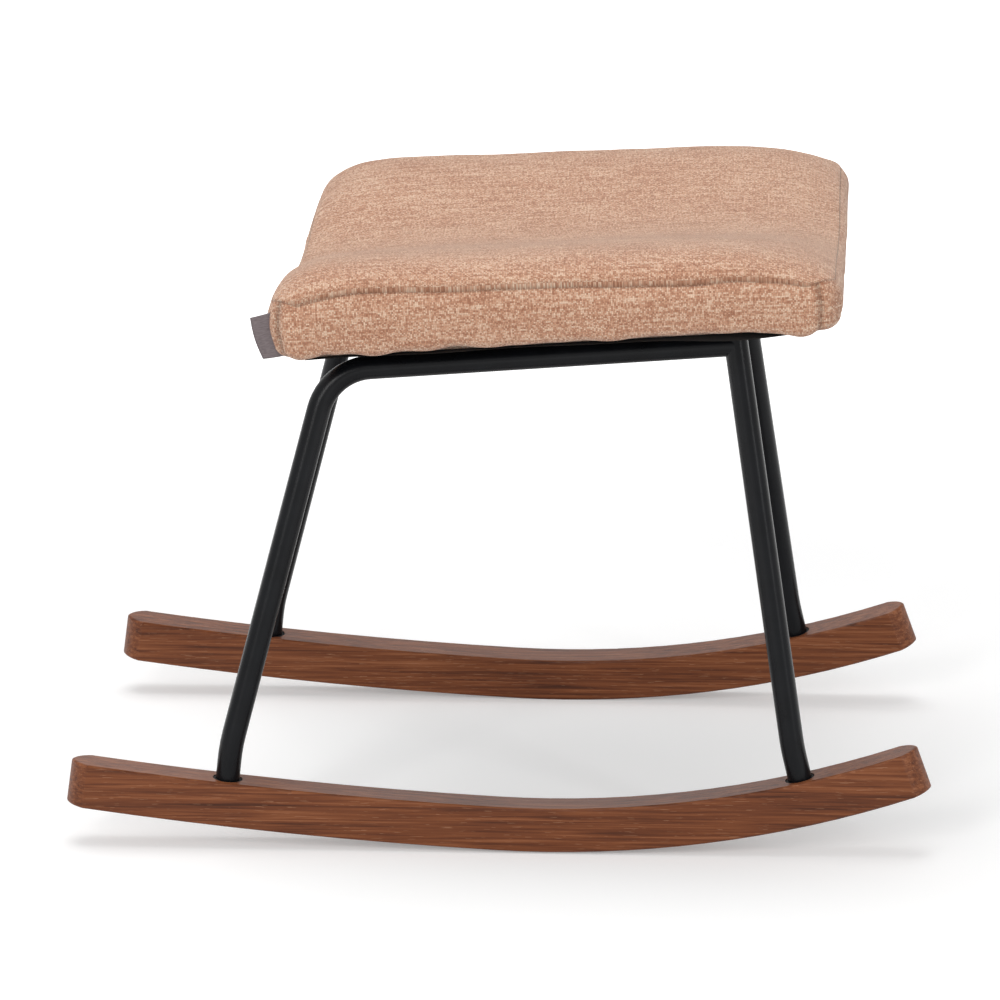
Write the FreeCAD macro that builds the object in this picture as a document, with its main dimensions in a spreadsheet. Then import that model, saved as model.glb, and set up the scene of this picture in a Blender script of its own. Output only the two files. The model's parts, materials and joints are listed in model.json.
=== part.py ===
"""Rocking footstool: bowed wooden rockers, bent steel tube frame and a sewn saddle cushion.

X runs along the rockers, Y across the stool and Z up. The origin is on the floor, midway
along and between the rockers. Lengths are millimetres and angles are degrees.
"""

import FreeCAD, Part
import math
import os

import Sketcher

V = FreeCAD.Vector
Placement = FreeCAD.Placement
Rotation = FreeCAD.Rotation

SIZES = {
    "rocker_length": 576,
    "rocker_width": 27.5,
    "rocker_thickness": 30,
    "rocker_spacing": 336,
    "rocker_lean": 2.45,
    "rocker_round": 1.6,
    "rock_radius": 740,
    "contact_x": 33,
    "tail_radius": 3200,
    "tail_start": 35,
    "nose_break": 20,
    "nose_side_radius": 19.3,
    "nose_tip_radius": 5,
    "left_foot_x": -180,
    "right_foot_x": 200.6,
    "foot_hole_diameter": 20,
    "foot_hole_depth": 12,
    "tube_diameter": 16,
    "tube_wall": 1.5,
    "foot_rise": 22,
    "foot_bend_radius": 100,
    "rail_bend_radius": 38,
    "rail_spacing": 248,
    "rail_left_x": -113.2,
    "rail_right_x": 155,
    "left_cross_x": -88,
    "right_cross_x": 132,
    "leg_top_gap": 5,
    "cope_back": 1,
    "fit_gap": 0.05,
    "bolt_diameter": 6,
    "bolt_hole_diameter": 6.6,
    "head_diameter": 10,
    "head_height": 6,
    "button_height": 3.3,
    "hex_key": 5,
    "hex_depth": 2.5,
    "washer_diameter": 12,
    "washer_thickness": 1.6,
    "counterbore_diameter": 14,
    "counterbore_depth": 8.5,
    "insert_length": 20,
    "bolt_grip": 14,
    "cap_thickness": 2.5,
    "cap_plug_length": 10,
    "seat_x": 36.3,
    "seat_height": 347.5,
    "seat_slope": 4.4,
    "seat_length": 368,
    "seat_depth": 372,
    "spacer_diameter": 20,
    "spacer_height": 11.5,
    "spacer_wrap": 4,
    "seat_bolt_spacing": 160,
    "dust_cover_thickness": 1,
    "dust_cover_size": 328,
    "board_thickness": 12,
    "board_edge_round": 10,
    "board_corner_radius": 20,
    "nut_flange_diameter": 18,
    "nut_flange_thickness": 1.5,
    "nut_barrel_diameter": 8,
    "nut_barrel_length": 9,
    "fabric_thickness": 2,
    "fabric_turn_in": 38,
    "band_height_left": 44,
    "band_height_right": 37,
    "band_corner_droop": 7,
    "band_bulge": 4,
    "band_foot_round": 20,
    "side_foot_round": 10,
    "plan_corner_radius": 18,
    "lip_inset": 30,
    "lip_height": 53,
    "lip_edge_height": 41,
    "valley_height": 33,
    "valley_edge_height": 23,
    "crown_fade": 60,
    "corner_seam_left": 6,
    "corner_seam_right": 12.7,
    "seam_ridge": 1.5,
    "seam_lower": 0.4,
    "foam_wrap": 6,
    "tab_width": 15,
    "tab_length": 29,
    "tab_thickness": 1.2,
    "tab_tilt": 15,
    "tab_height": 20,
}

SIDES = {"near": -1, "far": 1}

doc = FreeCAD.newDocument("rocking_footstool")
sheet = doc.addObject("Spreadsheet::Sheet", "Sizes")
for row, (alias, value) in enumerate(SIZES.items(), start=1):
    sheet.set(f"A{row}", alias)
    sheet.set(f"B{row}", str(value))
    sheet.setAlias(f"B{row}", alias)
doc.recompute()


def size(alias):
    """The sheet's value for one named size."""
    return float(sheet.get(alias))


def bind(thing, **formulas):
    """Tie properties of a document object to the sheet. Names stand for their cells."""
    for name, formula in formulas.items():
        for alias in sorted(SIZES, key=len, reverse=True):
            formula = formula.replace(alias, f"<<{alias}>>")
        thing.setExpression(name, formula.replace("<<", "Sizes.").replace(">>", ""))
    return thing


def feature(label, shape):
    """A plain feature that holds a wire or solid worked out here."""
    thing = doc.addObject("Part::Feature", label)
    thing.Shape = shape
    return thing


def combined(kind, label, base, tool):
    """A cut or common of two document objects."""
    thing = doc.addObject(kind, label)
    thing.Base = base
    thing.Tool = tool
    return thing


def cut(label, base, tool):
    return combined("Part::Cut", label, base, tool)


def fused(label, things):
    thing = doc.addObject("Part::MultiFuse", label)
    thing.Shapes = things
    return thing


def grouped(label, things):
    """One node of several separate solids."""
    thing = doc.addObject("Part::Compound", label)
    thing.Links = things
    return thing


def cylinder(label, radius, height, placement):
    """A cylinder up the local Z axis of its placement, its sizes given as formulas."""
    thing = doc.addObject("Part::Cylinder", label)
    bind(thing, Radius=radius, Height=height)
    thing.Placement = placement
    return thing


def shifted(frame, x=0, y=0, z=0):
    """A placement moved along its own axes."""
    return frame.multiply(Placement(V(x, y, z), Rotation()))


def axis_frame(origin, direction):
    """A placement whose local Z axis points along a direction."""
    return Placement(origin, Rotation(V(0, 0, 1), direction))


class RockerCurve:
    """The side profile of a rocker: a rocking arc that runs on into a flatter tail."""

    def __init__(self):
        self.radius = size("rock_radius")
        self.tail = size("tail_radius")
        self.thickness = size("rocker_thickness")
        self.centre = V(size("contact_x"), 0, self.radius)
        turn = math.asin(size("tail_start") / self.radius)
        self.join = -turn
        inward = V(math.sin(turn), 0, math.cos(turn))
        joint = self.centre - inward * self.radius
        self.tail_centre = joint + inward * self.tail

    def at(self, x, height=0):
        """The point of the curve at x on the underside, raised square to it, and its tilt."""
        if x >= self.centre.x - size("tail_start"):
            centre, radius = self.centre, self.radius
        else:
            centre, radius = self.tail_centre, self.tail
        tilt = math.asin((x - centre.x) / radius)
        outward = V(math.sin(tilt), 0, -math.cos(tilt))
        return centre + outward * (radius - height), tilt

    def top_at(self, x):
        """The point of the top face above x, and the tilt there."""
        t = self.thickness
        if x >= self.centre.x - size("tail_start") * (1 - t / self.radius):
            centre, radius = self.centre, self.radius - t
        else:
            centre, radius = self.tail_centre, self.tail - t
        tilt = math.asin((x - centre.x) / radius)
        return centre + V(math.sin(tilt), 0, -math.cos(tilt)) * radius, tilt


curve = RockerCurve()


def rocker_frame(sign):
    """Leans a rocker inwards at the top and stands it on its inner lower edge."""
    lean = math.radians(size("rocker_lean"))
    rounding = size("rocker_round")
    reach = size("rocker_width") / 2 - rounding
    lift = reach * math.sin(lean) + rounding * (1 - math.cos(lean))
    return Placement(
        V(0, sign * size("rocker_spacing") / 2, lift),
        Rotation(V(1, 0, 0), sign * size("rocker_lean")),
    )


def foot_frame(sign, x):
    """Origin on the rocker's top face at a foot, local Z square to the wood."""
    point, tilt = curve.top_at(x)
    local = Placement(point, Rotation(V(0, 1, 0), -math.degrees(tilt)))
    return rocker_frame(sign).multiply(local)


def origin_plane(body, role):
    """A body's own origin plane."""
    return [item for item in body.Origin.OriginFeatures if item.Role == role][0]


def sketch_on(body, name, role, offset):
    """A sketch attached to one of its body's origin planes."""
    sketch = body.newObject("Sketcher::SketchObject", name)
    sketch.AttachmentSupport = [(origin_plane(body, role), "")]
    sketch.MapMode = "FlatFace"
    sketch.AttachmentOffset = offset
    return sketch


def arc_of(centre, radius, start, end):
    """An arc turning anticlockwise between two angles in radians."""
    circle = Part.Circle(V(centre[0], centre[1], 0), V(0, 0, 1), radius)
    return Part.ArcOfCircle(circle, start, end)


def profile_sketch(body):
    """The rocker seen from the side, run past each nose tip."""
    t = curve.thickness
    half = size("rocker_length") / 2
    spare = size("rocker_width") / 2
    sketch = sketch_on(body, body.Label + "_profile", "XZ_Plane", Placement())
    right = math.asin((half - curve.centre.x) / curve.radius) + spare / curve.radius
    left = math.asin((half + curve.tail_centre.x) / curve.tail) + spare / curve.tail
    down = -math.pi / 2
    main = (curve.centre.x, curve.centre.z)
    tail = (curve.tail_centre.x, curve.tail_centre.z)
    arcs = [
        arc_of(main, curve.radius, down + curve.join, down + right),
        arc_of(main, curve.radius - t, down + curve.join, down + right),
        arc_of(tail, curve.tail, down - left, down + curve.join),
        arc_of(tail, curve.tail - t, down - left, down + curve.join),
    ]
    for arc in arcs:
        sketch.addGeometry(arc, False)
    sketch.addGeometry(Part.LineSegment(arcs[0].EndPoint, arcs[1].EndPoint), False)
    sketch.addGeometry(Part.LineSegment(arcs[2].StartPoint, arcs[3].StartPoint), False)
    start, end, middle = 1, 2, 3
    links = [
        (0, start, 2, end),
        (1, start, 3, end),
        (0, end, 4, start),
        (1, end, 4, end),
        (2, start, 5, start),
        (3, start, 5, end),
        (0, middle, 1, middle),
        (2, middle, 3, middle),
    ]
    for link in links:
        sketch.addConstraint(Sketcher.Constraint("Coincident", *link))
    return sketch


def nose_sketch(body, end):
    """What is cut away round one rocker end, seen square to the wood's top face.

    The nose is an arch of two side arcs that break from the long faces at a shallow
    angle and meet in a small tip arc.
    """
    tip_point, tilt = curve.at(end * size("rocker_length") / 2)
    frame = Placement(tip_point, Rotation(V(0, 1, 0), -math.degrees(tilt)))
    sketch = sketch_on(body, f"{body.Label}_nose_{'right' if end > 0 else 'left'}", "XY_Plane", frame)
    half = size("rocker_width") / 2
    side = size("nose_side_radius")
    tip = size("nose_tip_radius")
    angle = math.radians(size("nose_break"))
    side_centre = V(-side * math.sin(angle), half - side * math.cos(angle), 0)
    reach = math.sqrt((side - tip) ** 2 - side_centre.y**2)
    tip_centre = V(side_centre.x + reach, 0, 0)
    back = V(-(tip_centre.x + tip), 0, 0)
    side_centre += back
    tip_centre += back
    meet = math.atan2(-side_centre.y, reach)
    margin = half
    crease = back.x

    def mirrored(point):
        return V(end * point.x, point.y, 0)

    def through(centre, radius, angles):
        points = [centre + V(math.cos(a), math.sin(a), 0) * radius for a in angles]
        return [mirrored(p) for p in points]

    upper = through(side_centre, side, [math.pi / 2 - angle, (math.pi / 2 - angle + meet) / 2, meet])
    nose = through(tip_centre, tip, [meet, 0, -meet])
    lower = [V(p.x, -p.y, 0) for p in reversed(upper)]
    corners = [
        V(crease, half, 0),
        V(crease, half + margin, 0),
        V(2 * margin, half + margin, 0),
        V(2 * margin, -half - margin, 0),
        V(crease, -half - margin, 0),
        V(crease, -half, 0),
    ]
    corners = [mirrored(p) for p in corners]
    for points in (upper, nose, lower):
        sketch.addGeometry(Part.Arc(*points), False)
    for first, second in zip(corners, corners[1:]):
        sketch.addGeometry(Part.LineSegment(first, second), False)
    return sketch


def foot_sketch(body, x, name):
    """Half the section of the stepped hole at a foot: tube socket, bolt hole, counterbore."""
    point, tilt = curve.top_at(x)
    offset = Placement(V(point.x, point.z, 0), Rotation(V(0, 0, 1), math.degrees(tilt)))
    sketch = sketch_on(body, f"{body.Label}_{name}_hole", "XZ_Plane", offset)
    socket = size("foot_hole_diameter") / 2
    bolt = size("bolt_hole_diameter") / 2
    bore = size("counterbore_diameter") / 2
    thickness = curve.thickness
    points = [
        V(0, thickness, 0),
        V(socket, thickness, 0),
        V(socket, -size("foot_hole_depth"), 0),
        V(bolt, -size("foot_hole_depth"), 0),
        V(bolt, size("counterbore_depth") - thickness, 0),
        V(bore, size("counterbore_depth") - thickness, 0),
        V(bore, -2 * thickness, 0),
        V(0, -2 * thickness, 0),
    ]
    for first, second in zip(points, points[1:] + points[:1]):
        sketch.addGeometry(Part.LineSegment(first, second), False)
    return sketch


def curved_edges(shape):
    """Names of the edges that aren't straight."""
    names = []
    for number, edge in enumerate(shape.Edges, start=1):
        if edge.Curve.TypeId != "Part::GeomLine":
            names.append(f"Edge{number}")
    return names


def make_rocker(side, sign):
    """Sawn from a plank: side profile, arched noses, eased edges and stepped holes."""
    body = doc.addObject("PartDesign::Body", f"{side}_rocker")
    pad = body.newObject("PartDesign::Pad", f"{side}_blank")
    pad.Profile = profile_sketch(body)
    pad.Midplane = True
    bind(pad, Length="rocker_width")
    doc.recompute()
    for end in (-1, 1):
        nose = body.newObject("PartDesign::Pocket", f"{side}_nose_{end + 1}")
        nose.Profile = nose_sketch(body, end)
        nose.Midplane = True
        bind(nose, Length="4 * rocker_thickness")
        doc.recompute()
    sawn = body.Tip
    easing = body.newObject("PartDesign::Fillet", f"{side}_easing")
    easing.Base = (sawn, curved_edges(sawn.Shape))
    bind(easing, Radius="rocker_round")
    doc.recompute()
    for name in ("left", "right"):
        hole = body.newObject("PartDesign::Groove", f"{side}_{name}_foot_hole")
        hole.Profile = foot_sketch(body, size(f"{name}_foot_x"), name)
        hole.ReferenceAxis = (hole.Profile[0], ["V_Axis"])
        hole.Angle = 360
        doc.recompute()
    body.Placement = rocker_frame(sign)
    return body


def bent_path(points, radii):
    """Straight runs through the points, joined by tangent arcs of the radii given."""
    edges = []
    start = points[0]
    for before, corner, after, radius in zip(points, points[1:], points[2:], radii):
        back = (before - corner).normalize()
        onward = (after - corner).normalize()
        half = back.getAngle(onward) / 2
        inward = (back + onward).normalize()
        centre = corner + inward * (radius / math.sin(half))
        first = corner + back * (radius / math.tan(half))
        last = corner + onward * (radius / math.tan(half))
        edges.append(Part.LineSegment(start, first).toShape())
        edges.append(Part.Arc(first, centre - inward * radius, last).toShape())
        start = last
    edges.append(Part.LineSegment(start, points[-1]).toShape())
    return Part.Wire(edges)


def swept(label, path, radius):
    """A solid round bar of one radius along a path."""
    first = path.Shape.Edges[0]
    circle = doc.addObject("Part::Circle", f"{label}_section")
    bind(circle, Radius=radius)
    heading = first.tangentAt(first.FirstParameter)
    circle.Placement = axis_frame(first.valueAt(first.FirstParameter), heading)
    bar = doc.addObject("Part::Sweep", label)
    bar.Sections = [circle]
    bar.Spine = (path, [f"Edge{n + 1}" for n in range(len(path.Shape.Edges))])
    bar.Solid = True
    bar.Frenet = False
    return bar


def tube(label, points, radii):
    """A round tube of the stool's gauge along a bent path."""
    path = feature(f"{label}_path", bent_path(points, radii))
    outside = swept(f"{label}_outside", path, "tube_diameter / 2")
    inside = swept(f"{label}_inside", path, "tube_diameter / 2 - tube_wall")
    return cut(label, outside, inside)


def seat_frame():
    """Origin at the middle of the cushion's underside, local X up the slope of the seat."""
    return Placement(
        V(size("seat_x"), 0, size("seat_height")),
        Rotation(V(0, 1, 0), -size("seat_slope")),
    )


def rail_drop():
    """How far the rails' axis lies under the cushion."""
    return size("tube_diameter") / 2 + size("spacer_height") + size("dust_cover_thickness")


def on_rail(sign, x):
    """The point of a rail's axis at x."""
    frame = seat_frame()
    slope = math.radians(size("seat_slope"))
    along = (x - frame.Base.x - rail_drop() * math.sin(slope)) / math.cos(slope)
    return frame.multVec(V(along, sign * size("rail_spacing") / 2, -rail_drop()))


def foot_points(sign, x):
    """Where a tube starts in its socket, and where it first bends."""
    frame = foot_frame(sign, x)
    return frame.multVec(V(0, 0, -size("foot_hole_depth"))), frame.multVec(V(0, 0, size("foot_rise")))


def right_leg_points(sign):
    """Foot, first bend and open top of a right leg, which passes behind its rail's end."""
    foot, bend = foot_points(sign, size("right_foot_x"))
    crossing = on_rail(sign, size("rail_right_x"))
    heading = (crossing - bend).normalize()
    seat = seat_frame()
    up = seat.Rotation.multVec(V(0, 0, 1))
    climb = rail_drop() - size("leg_top_gap") - size("cap_thickness")
    return [foot, bend, crossing + heading * (climb / heading.dot(up))]


def make_right_leg(side, sign):
    points = right_leg_points(sign)
    return tube(f"{side}_right_leg", points, [size("foot_bend_radius")])


def make_leg_rail(side, sign):
    """One bent tube: foot, left leg, rail. The rail's end is coped to the right leg."""
    foot, bend = foot_points(sign, size("left_foot_x"))
    end = on_rail(sign, size("rail_right_x") - size("cope_back"))
    points = [foot, bend, on_rail(sign, size("rail_left_x")), end]
    bent = tube(f"{side}_leg_rail_bent", points, [size("foot_bend_radius"), size("rail_bend_radius")])
    _, low, top = right_leg_points(sign)
    cope = cylinder(
        f"{side}_cope",
        "tube_diameter / 2",
        "seat_height",
        axis_frame(low, top - low),
    )
    return cut(f"{side}_leg_rail", bent, cope)


def seat_bolt_spots(name):
    """Local seat positions of the bolts through one cross tube."""
    along = seat_frame().inverse().multVec(on_rail(0, size(f"{name}_cross_x"))).x
    half = size("seat_bolt_spacing") / 2
    return [V(along, -half, 0), V(along, half, 0)]


def all_seat_bolt_spots():
    return seat_bolt_spots("left") + seat_bolt_spots("right")


def make_cross_tube(name):
    """Spans the two rails, coped to each, with a bolt hole at each spacer."""
    half = size("rail_spacing") / 2 - size("cope_back")
    spots = seat_bolt_spots(name)
    along = spots[0].x
    start = V(along, -half, -rail_drop())
    lying = axis_frame(start, V(0, 1, 0))
    length = "rail_spacing - 2 * cope_back"
    outside = cylinder(f"{name}_cross_outside", "tube_diameter / 2", length, lying)
    inside = cylinder(f"{name}_cross_inside", "tube_diameter / 2 - tube_wall", length, lying)
    tools = [inside]
    for sign in SIDES.values():
        rail = V(along, sign * size("rail_spacing") / 2, -rail_drop())
        spot = rail - V(size("tube_diameter"), 0, 0)
        tools.append(
            cylinder(
                f"{name}_cross_cope",
                "tube_diameter / 2",
                "2 * tube_diameter",
                axis_frame(spot, V(1, 0, 0)),
            )
        )
    for spot in spots:
        low = spot - V(0, 0, rail_drop() + size("tube_diameter"))
        tools.append(
            cylinder(
                f"{name}_cross_hole",
                "bolt_hole_diameter / 2",
                "2 * tube_diameter",
                Placement(low, Rotation()),
            )
        )
    piece = cut(f"{name}_cross_tube", outside, fused(f"{name}_cross_tools", tools))
    piece.Placement = seat_frame()
    return piece


def socket_head(label, frame, radius, height):
    """A round bolt head with a hexagon socket, its seat at the frame's origin, below it."""
    head = cylinder(f"{label}_head", radius, height, shifted(frame, z=-size(height)))
    key = doc.addObject("Part::Prism", f"{label}_key")
    key.Polygon = 6
    bind(key, Circumradius="hex_key / sqrt(3)", Height="2 * hex_depth")
    key.Placement = shifted(frame, z=-size(height) - size("hex_depth"))
    return cut(f"{label}_socket_head", head, key)


def bolt(label, frame, radius, height, shank):
    """A bolt whose head seats at the frame's origin and whose shank runs up local Z."""
    head = socket_head(label, frame, radius, height)
    stem = cylinder(f"{label}_stem", "bolt_diameter / 2", shank, frame)
    return fused(label, [head, stem])


def foot_frames():
    frames = []
    for sign in SIDES.values():
        for name in ("left", "right"):
            frames.append(foot_frame(sign, size(f"{name}_foot_x")))
    return frames


def make_rocker_bolts():
    """Head up in the counterbore, shank through the web into the tube's insert."""
    seat = curve.thickness - size("counterbore_depth") + size("washer_thickness")
    shank = "rocker_thickness - counterbore_depth + washer_thickness - foot_hole_depth + bolt_grip"
    bolts = []
    for frame in foot_frames():
        bolts.append(
            bolt("rocker_bolt", shifted(frame, z=-seat), "head_diameter / 2", "head_height", shank)
        )
    return grouped("rocker_bolts", bolts)


def ring(label, outer, inner, height, frame):
    """A washer or bush, its sizes given as formulas."""
    disc = cylinder(f"{label}_disc", outer, height, frame)
    hole = cylinder(f"{label}_hole", inner, height, frame)
    return cut(label, disc, hole)


def make_rocker_washers():
    drop = curve.thickness - size("counterbore_depth") + size("washer_thickness")
    rings = []
    for frame in foot_frames():
        rings.append(
            ring(
                "rocker_washer",
                "washer_diameter / 2",
                "bolt_diameter / 2 + fit_gap",
                "washer_thickness",
                shifted(frame, z=-drop),
            )
        )
    return grouped("rocker_washers", rings)


def make_foot_inserts():
    """Threaded plugs flush with the tubes' lower ends."""
    rings = []
    for frame in foot_frames():
        rings.append(
            ring(
                "foot_insert",
                "tube_diameter / 2 - tube_wall - fit_gap",
                "bolt_diameter / 2 + fit_gap",
                "insert_length",
                shifted(frame, z=-size("foot_hole_depth")),
            )
        )
    return grouped("foot_inserts", rings)


def make_leg_top_plugs():
    """Push-in caps that close the open tops of the right legs."""
    plugs = []
    for sign in SIDES.values():
        _, low, top = right_leg_points(sign)
        frame = axis_frame(top, top - low)
        cap = cylinder("leg_cap", "tube_diameter / 2", "cap_thickness", frame)
        stem = cylinder(
            "leg_cap_stem",
            "tube_diameter / 2 - tube_wall - fit_gap",
            "cap_plug_length",
            shifted(frame, z=-size("cap_plug_length")),
        )
        plugs.append(fused("leg_top_plug", [cap, stem]))
    return grouped("leg_top_plugs", plugs)


def in_seat(thing):
    """Puts a piece that was drawn in the seat's own axes in its place."""
    thing.Placement = seat_frame()
    return thing


def make_seat_spacers():
    """Round spacers with a saddle underneath that sits over the cross tube."""
    spacers = []
    for spot in all_seat_bolt_spots():
        top = -size("dust_cover_thickness")
        low = top - size("spacer_height") - size("spacer_wrap")
        frame = Placement(spot + V(0, 0, low), Rotation())
        blank = ring(
            "spacer_blank",
            "spacer_diameter / 2",
            "bolt_hole_diameter / 2",
            "spacer_height + spacer_wrap",
            frame,
        )
        saddle = cylinder(
            "spacer_saddle",
            "tube_diameter / 2",
            "2 * spacer_diameter",
            axis_frame(spot - V(0, size("spacer_diameter"), rail_drop()), V(0, 1, 0)),
        )
        spacers.append(cut("seat_spacer", blank, saddle))
    return in_seat(grouped("seat_spacers", spacers))


def make_seat_bolts():
    """Heads under the cross tubes, tips level with the top of the nuts."""
    drop = rail_drop() + size("tube_diameter") / 2
    shank = (
        "tube_diameter + spacer_height + dust_cover_thickness"
        " + fabric_thickness + board_thickness"
    )
    bolts = []
    for spot in all_seat_bolt_spots():
        frame = Placement(spot - V(0, 0, drop), Rotation())
        bolts.append(bolt("seat_bolt", frame, "head_diameter / 2", "button_height", shank))
    return in_seat(grouped("seat_bolts", bolts))


def board_top():
    return size("fabric_thickness") + size("board_thickness")


def make_seat_nuts():
    """Flange on the board's top face, barrel down in its hole."""
    nuts = []
    for spot in all_seat_bolt_spots():
        top = Placement(spot + V(0, 0, board_top()), Rotation())
        flange = cylinder("nut_flange", "nut_flange_diameter / 2", "nut_flange_thickness", top)
        low = shifted(top, z=-size("nut_barrel_length"))
        barrel = cylinder("nut_barrel", "nut_barrel_diameter / 2", "nut_barrel_length", low)
        bore = cylinder(
            "nut_bore",
            "bolt_diameter / 2 + fit_gap",
            "nut_barrel_length + nut_flange_thickness",
            low,
        )
        nuts.append(cut("seat_nut", fused("nut_blank", [flange, barrel]), bore))
    return in_seat(grouped("seat_t_nuts", nuts))


def rounded_slab(label, length, depth, height, corner, z):
    """A flat slab with rounded corners in plan, its sizes given as formulas."""
    box = doc.addObject("Part::Box", f"{label}_box")
    bind(box, Length=length, Width=depth, Height=height)
    doc.recompute()
    box.Placement = Placement(V(-box.Length.Value / 2, -box.Width.Value / 2, z), Rotation())
    doc.recompute()
    slab = doc.addObject("Part::Fillet", label)
    slab.Base = box
    radius = size(corner)
    upright = []
    for number, edge in enumerate(box.Shape.Edges, start=1):
        if abs(edge.tangentAt(edge.FirstParameter).z) > 0.9:
            upright.append((number, radius, radius))
    slab.Edges = upright
    doc.recompute()
    return slab


def bolt_drills(label, diameter, spots):
    drills = []
    for spot in spots:
        frame = Placement(spot - V(0, 0, size("board_thickness")), Rotation())
        drills.append(cylinder(f"{label}_drill", diameter, "3 * board_thickness", frame))
    return fused(f"{label}_drills", drills)


BOARD_CUT = "2 * band_foot_round - 2 * board_edge_round + 2 * fit_gap"


def make_board():
    """Plywood with rounded corners and a rounded lower edge, drilled for the nuts."""
    slab = rounded_slab(
        "board_slab",
        f"seat_length - {BOARD_CUT}",
        f"seat_depth - {BOARD_CUT}",
        "board_thickness",
        "board_corner_radius",
        size("fabric_thickness"),
    )
    eased = doc.addObject("Part::Fillet", "board_eased")
    eased.Base = slab
    lower = []
    radius = size("board_edge_round")
    for number, edge in enumerate(slab.Shape.Edges, start=1):
        if edge.BoundBox.ZMax < size("fabric_thickness") + size("fit_gap"):
            lower.append((number, radius, radius))
    eased.Edges = lower
    drills = bolt_drills("board", "nut_barrel_diameter / 2 + fit_gap", all_seat_bolt_spots())
    return in_seat(cut("seat_board", eased, drills))


def make_dust_cover():
    """Thin black cloth stapled over the turned-in fabric."""
    slab = rounded_slab(
        "dust_slab",
        "dust_cover_size",
        "dust_cover_size",
        "dust_cover_thickness",
        "board_corner_radius",
        -size("dust_cover_thickness"),
    )
    drills = bolt_drills("dust", "bolt_hole_diameter / 2", all_seat_bolt_spots())
    return in_seat(cut("dust_cover", slab, drills))


def mirror(point):
    """The same point on the near side."""
    return V(point.x, -point.y, point.z)


def arch(radius, distance):
    """How far a rounded end draws in at a distance from its tip."""
    short = max(0, radius - distance)
    return radius - math.sqrt(radius**2 - short**2)


class Station:
    """The cushion's cross-section at one distance in from its left or right end.

    inset shrinks the whole form, so that the foam fits inside the fabric. Towards the end
    the lips, the valley and the seam sink from their full heights to those of the end.
    """

    def __init__(self, end, distance, inset=0):
        bulge = size("band_bulge")
        self.x = end * (size("seat_length") / 2 + bulge - inset - distance)
        self.half = size("seat_depth") / 2 - inset - arch(size("plan_corner_radius"), distance)
        self.floor = inset + arch(size("side_foot_round"), distance)
        self.full = 1 - (1 - min(1, max(0, distance - bulge) / size("crown_fade"))) ** 3
        past_seam = max(0, 1 - distance / bulge)
        fall = inset + (1 - math.sqrt(1 - past_seam**2)) * bulge
        share = self.x / size("seat_length") + 0.5
        self.band = size("band_height_left") * (1 - share) + size("band_height_right") * share
        self.lip = self.between("lip_edge_height", size("lip_height")) - fall
        self.valley = self.between("valley_edge_height", size("valley_height")) - fall
        self.seam = self.band - size("band_corner_droop") * (1 - self.full) - fall

    def between(self, edge, full):
        """A height that goes from its value at the end to its full value."""
        return size(edge) + (full - size(edge)) * self.full

    def top(self, lip, valley):
        """Points of the far lip's arc and of the valley's arc, tangent where they meet."""
        y = self.half - size("lip_inset")
        rise = lip - self.seam
        depth = lip - valley
        lip_radius = (size("lip_inset") ** 2 + rise**2) / (2 * rise)
        both = (y**2 + depth**2) / (2 * depth)
        turn = math.asin(y / both)
        across = y - lip_radius * math.sin(turn)
        meet = V(self.x, across, lip - lip_radius * (1 - math.cos(turn)))
        return V(self.x, self.half, self.seam), V(self.x, y, lip), meet, V(self.x, 0, valley)

    def outline(self):
        """Flat foot, rounded foot edges, bulging bands, two lips and the valley."""
        start, crest, meet, trough = self.top(self.lip, self.valley)
        room = self.seam - self.floor
        foot = min(size("band_foot_round"), room / 2)
        rise = room - foot
        bulge = min(size("band_bulge"), rise / 5)
        radius = (rise**2 + bulge**2) / (2 * bulge)
        turn = math.asin(rise / radius) / 2
        wide = self.half + bulge
        short = foot * (1 - math.sqrt(0.5))
        low = V(self.x, wide - foot, self.floor)
        corner = V(self.x, wide - short, self.floor + short)
        waist = V(self.x, wide, self.floor + foot)
        middle = V(self.x, wide - radius * (1 - math.cos(turn)), waist.z + radius * math.sin(turn))
        far = [(low, corner, waist), (waist, middle, start), (start, crest, meet)]
        near = [[mirror(p) for p in reversed(points)] for points in reversed(far)]
        edges = [Part.LineSegment(mirror(low), low).toShape()]
        for points in far + [(meet, trough, mirror(meet))] + near:
            edges.append(Part.Arc(*points).toShape())
        return Part.Wire(edges)

    def parting(self):
        """What lies below the seam that joins the bands to the top panel."""
        lip = self.between("lip_edge_height", self.band + size("seam_ridge"))
        points = self.top(lip, size("valley_edge_height"))
        start, crest, meet, trough = [p - V(0, 0, size("seam_lower")) for p in points]
        spread = size("lip_inset")
        outside = start + V(0, spread, 0)
        low = V(self.x, outside.y, -spread)
        corners = [start, outside, low, mirror(low), mirror(outside), mirror(start)]
        edges = []
        for first, second in zip(corners, corners[1:]):
            edges.append(Part.LineSegment(first, second).toShape())
        edges.append(Part.Arc(mirror(start), mirror(crest), mirror(meet)).toShape())
        edges.append(Part.Arc(mirror(meet), trough, meet).toShape())
        edges.append(Part.Arc(meet, crest, start).toShape())
        return Part.Wire(edges)


def lofted(label, wires):
    """A smooth solid through closed outlines of the same number of edges."""
    thing = doc.addObject("Part::Loft", label)
    thing.Sections = [feature(f"{label}_section", wire) for wire in wires]
    thing.Solid = True
    thing.Ruled = False
    return thing


def station_distances():
    """Stations from one end's tip to the middle, close together where the form turns."""
    bulge = size("band_bulge")
    half = size("seat_length") / 2 + bulge
    return [bulge, 2.5 * bulge, 5.5 * bulge, half * 0.28, half * 0.6]


def mirrored_stations(distances, inset=0):
    left = [Station(-1, distance, inset) for distance in distances]
    right = [Station(1, distance, inset) for distance in reversed(distances)]
    return left + right


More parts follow.
